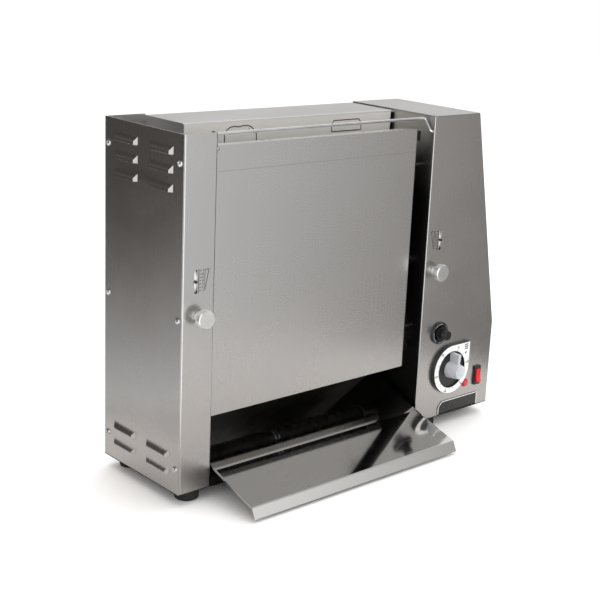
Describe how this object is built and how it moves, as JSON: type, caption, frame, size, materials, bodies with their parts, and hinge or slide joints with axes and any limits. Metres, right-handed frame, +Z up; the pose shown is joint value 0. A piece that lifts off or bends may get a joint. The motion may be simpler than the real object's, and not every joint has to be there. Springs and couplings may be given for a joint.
{
  "type": "vertical bun toaster",
  "caption": "Vertical contact conveyor toaster for buns: stainless housings, top hopper, heated platen, twin belts, thickness adjusters and a sloping landing tray.",
  "frame": {"origin": "on the floor under the middle of the whole machine's box, tray and cable gland included", "axes": "+X to the right along the machine's width, -Y out of the front where the tray is, +Z up"},
  "size_m": [0.598, 0.2789, 0.476],
  "materials": {
    "stainless_panel": "brushed stainless sheet, warm satin grain",
    "stainless_top": "brushed stainless sheet, brighter top faces",
    "stainless_inner": "mill-finish stainless sheet",
    "stainless_mirror": "polished stainless",
    "steel_bright": "bright drawn steel",
    "platen_cast": "machined cast aluminium",
    "element_sheath": "heat-darkened alloy sheath",
    "ceramic_blanket": "ceramic fibre blanket",
    "conveyor_steel": "stainless plate",
    "belt_wire": "stainless wire mesh",
    "bronze_bush": "sintered bronze",
    "carbon_steel": "oiled carbon steel",
    "motor_paint": "black stove enamel",
    "knob_metal": "turned satin aluminium",
    "pointer_black": "black enamel",
    "thermostat_case": "moulded phenolic",
    "dial_face": "white moulded dial, black hub and edge, printed marks",
    "knob_grey": "silver-grey moulded knob",
    "control_black": "black moulded plastic",
    "lamp_red": "translucent red lens",
    "rocker_red": "red moulded rocker",
    "badge": "blank black plate with a bright edge",
    "foot_rubber": "black rubber"
  },
  "bodies": {
    "housing": {"base_pan": "stainless_inner", "rear_panel": "stainless_panel", "top_deck": "stainless_top", "left_side_cover": "stainless_panel", "left_front_column": "stainless_panel", "left_inner_wall": "stainless_inner", "left_top_plate": "stainless_inner", "right_inner_wall": "stainless_inner", "control_panel": "stainless_panel", "right_side_cover": "stainless_panel", "right_top_cover": "stainless_top", "cover_screws": "steel_bright", "cover_pins": "carbon_steel", "hopper_guard": "steel_bright", "platen": "platen_cast", "heating_elements": "element_sheath", "platen_insulation": "ceramic_blanket", "heat_shield": "stainless_inner", "platen_brackets": "stainless_inner", "shaft_bushes": "bronze_bush", "drive_chain": "carbon_steel", "gearmotor": "motor_paint", "motor_standoffs": "stainless_inner", "left_adjuster_bracket": "stainless_inner", "right_adjuster_bracket": "stainless_inner", "thermostat": "thermostat_case", "thermostat_dial": "dial_face", "speed_bezel": "control_black", "speed_control": "thermostat_case", "pilot_lamp": "lamp_red", "rocker_frame": "control_black", "name_plate": "badge", "terminal_block": "thermostat_case", "cable_gland": "control_black", "tray_runners": "stainless_inner", "feet": "foot_rubber"},
    "left_adjuster": {"left_adjuster_knob": "knob_metal", "left_adjuster_spindle": "steel_bright"},
    "left_nut": {"left_adjuster_nut": "bronze_bush"},
    "left_pointer": {"left_pointer": "pointer_black"},
    "left_conveyor": {"left_conveyor_frame": "conveyor_steel", "left_conveyor_belt": "belt_wire"},
    "left_idler": {"left_idler_roller": "steel_bright"},
    "right_adjuster": {"right_adjuster_knob": "knob_metal", "right_adjuster_spindle": "steel_bright"},
    "right_nut": {"right_adjuster_nut": "bronze_bush"},
    "right_pointer": {"right_pointer": "pointer_black"},
    "right_conveyor": {"right_conveyor_frame": "conveyor_steel", "right_conveyor_belt": "belt_wire"},
    "right_idler": {"right_idler_roller": "steel_bright"},
    "drive": {"drive_shaft": "steel_bright", "drive_rollers": "steel_bright", "drive_sprocket": "carbon_steel"},
    "motor_output": {"motor_shaft": "steel_bright", "motor_sprocket": "carbon_steel"},
    "thermostat_control": {"thermostat_knob": "knob_grey"},
    "speed_dial": {"speed_knob": "control_black"},
    "power_rocker": {"rocker": "rocker_red"},
    "tray": {"landing_tray": "stainless_mirror"},
    "cover": {"front_cover": "stainless_panel"}
  },
  "joints": [
    {"name": "drive_spin", "type": "hinge", "parent": "housing", "child": "drive", "pos_m": [0, -0.0095, 0.131], "axis": [1, 0, 0], "continuous": true},
    {"name": "motor_spin", "type": "hinge", "parent": "housing", "child": "motor_output", "pos_m": [0.15, 0.0625, 0.166], "axis": [1, 0, 0], "continuous": true},
    {"name": "left_adjust", "type": "hinge", "parent": "housing", "child": "left_adjuster", "pos_m": [-0.2697, -0.0475, 0.25], "axis": [0, 1, 0], "range_deg": [-361, 361]},
    {"name": "left_nut_slide", "type": "slide", "parent": "housing", "child": "left_nut", "axis": [0, 1, 0], "range_m": [-0.00252, 0.00252]},
    {"name": "left_pointer_swing", "type": "hinge", "parent": "housing", "child": "left_pointer", "pos_m": [-0.274, -0.0095, 0.2945], "axis": [1, 0, 0], "range_deg": [-17.6, 17.6]},
    {"name": "left_squeeze", "type": "hinge", "parent": "housing", "child": "left_conveyor", "pos_m": [0, -0.0095, 0.131], "axis": [1, 0, 0], "range_deg": [-1.2, 1.2]},
    {"name": "left_idler_spin", "type": "hinge", "parent": "left_conveyor", "child": "left_idler", "pos_m": [0, -0.0095, 0.411], "axis": [1, 0, 0], "continuous": true},
    {"name": "right_adjust", "type": "hinge", "parent": "housing", "child": "right_adjuster", "pos_m": [0.1516, -0.0475, 0.25], "axis": [0, 1, 0], "range_deg": [-361, 361]},
    {"name": "right_nut_slide", "type": "slide", "parent": "housing", "child": "right_nut", "axis": [0, 1, 0], "range_m": [-0.00252, 0.00252]},
    {"name": "right_pointer_swing", "type": "hinge", "parent": "housing", "child": "right_pointer", "pos_m": [0.1614, -0.0095, 0.2945], "axis": [1, 0, 0], "range_deg": [-17.6, 17.6]},
    {"name": "right_squeeze", "type": "hinge", "parent": "housing", "child": "right_conveyor", "pos_m": [0, -0.0095, 0.131], "axis": [1, 0, 0], "range_deg": [-1.2, 1.2]},
    {"name": "right_idler_spin", "type": "hinge", "parent": "right_conveyor", "child": "right_idler", "pos_m": [0, -0.0095, 0.411], "axis": [1, 0, 0], "continuous": true},
    {"name": "thermostat_turn", "type": "hinge", "parent": "housing", "child": "thermostat_control", "pos_m": [0.2019, -0.0475, 0.0893], "axis": [0, 1, 0], "range_deg": [0, 300]},
    {"name": "speed_turn", "type": "hinge", "parent": "housing", "child": "speed_dial", "pos_m": [0.1733, -0.0475, 0.1508], "axis": [0, 1, 0], "range_deg": [-140, 140]},
    {"name": "rocker_tip", "type": "hinge", "parent": "housing", "child": "power_rocker", "pos_m": [0.267, -0.0515, 0.0663], "axis": [1, 0, 0], "range_deg": [0, 17]},
    {"name": "tray_slide", "type": "slide", "parent": "housing", "child": "tray", "axis": [0, -1, 0], "range_m": [0, 0.12]},
    {"name": "cover_lift", "type": "slide", "parent": "housing", "child": "cover", "axis": [0, 0, 1], "range_m": [0, 0.0045]}
  ],
  "couplings": [
    {"joint": "motor_spin", "follows": "drive_spin", "ratio": 1},
    {"joint": "left_adjust", "follows": "left_squeeze", "ratio": -299.08},
    {"joint": "left_nut_slide", "follows": "left_squeeze", "m_per_rad": -0.119},
    {"joint": "left_pointer_swing", "follows": "left_squeeze", "ratio": -14.539},
    {"joint": "left_idler_spin", "follows": "drive_spin", "ratio": 1},
    {"joint": "right_adjust", "follows": "right_squeeze", "ratio": -299.08},
    {"joint": "right_nut_slide", "follows": "right_squeeze", "m_per_rad": -0.119},
    {"joint": "right_pointer_swing", "follows": "right_squeeze", "ratio": -14.539},
    {"joint": "right_idler_spin", "follows": "drive_spin", "ratio": 1}
  ]
}
